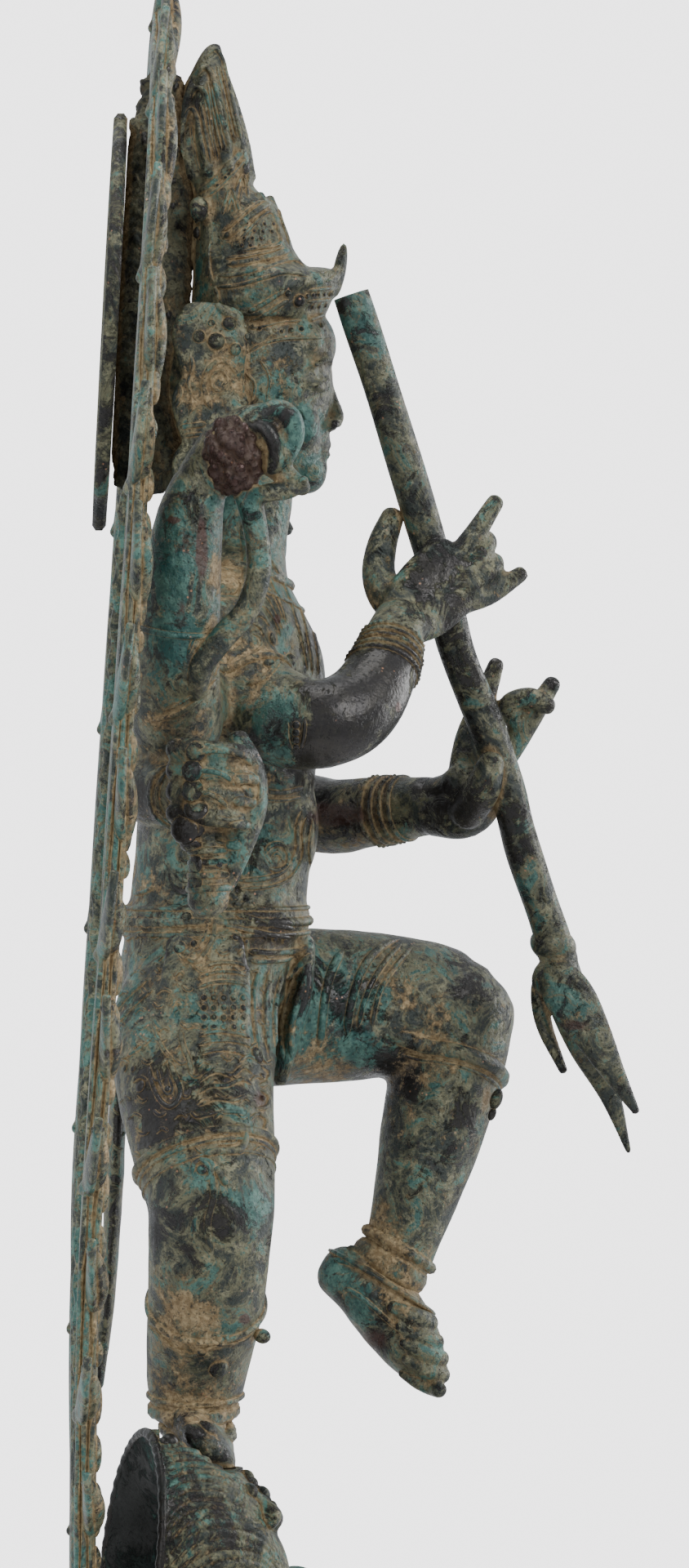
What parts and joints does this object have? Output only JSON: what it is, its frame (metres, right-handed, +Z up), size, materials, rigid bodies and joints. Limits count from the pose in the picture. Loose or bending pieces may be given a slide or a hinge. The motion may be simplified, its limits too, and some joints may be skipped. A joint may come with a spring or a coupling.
{
  "type": "bronze statue of a many-armed dancing deity with a trident, standing on a dwarf in an open arch of flames",
  "caption": "Patinated bronze statue of a dancing deity with a trident, standing on a dwarf, framed by an open arch of flames.",
  "frame": {"origin": "centre of the plinth's flat underside", "axes": "+Z up, the deity faces -Y, its right side is -X"},
  "size_m": [0.3202, 0.1923, 0.5743],
  "materials": {
    "plinth_patina": "matte mottled green-brown patina",
    "dwarf_patina": "matte green-brown patina, teal in the hollow",
    "figure_patina": "satin mottled green, teal and ochre patina with dark polished high spots",
    "trident_bronze": "satin dark brown-green patina",
    "aureole_patina": "matte grey-green patina",
    "nimbus_patina": "matte grey-green patina"
  },
  "bodies": {
    "root": {"plinth": "plinth_patina", "dwarf": "dwarf_patina", "figure": "figure_patina", "trident": "trident_bronze", "aureole": "aureole_patina", "head_nimbus": "nimbus_patina"}
  },
  "joints": []
}
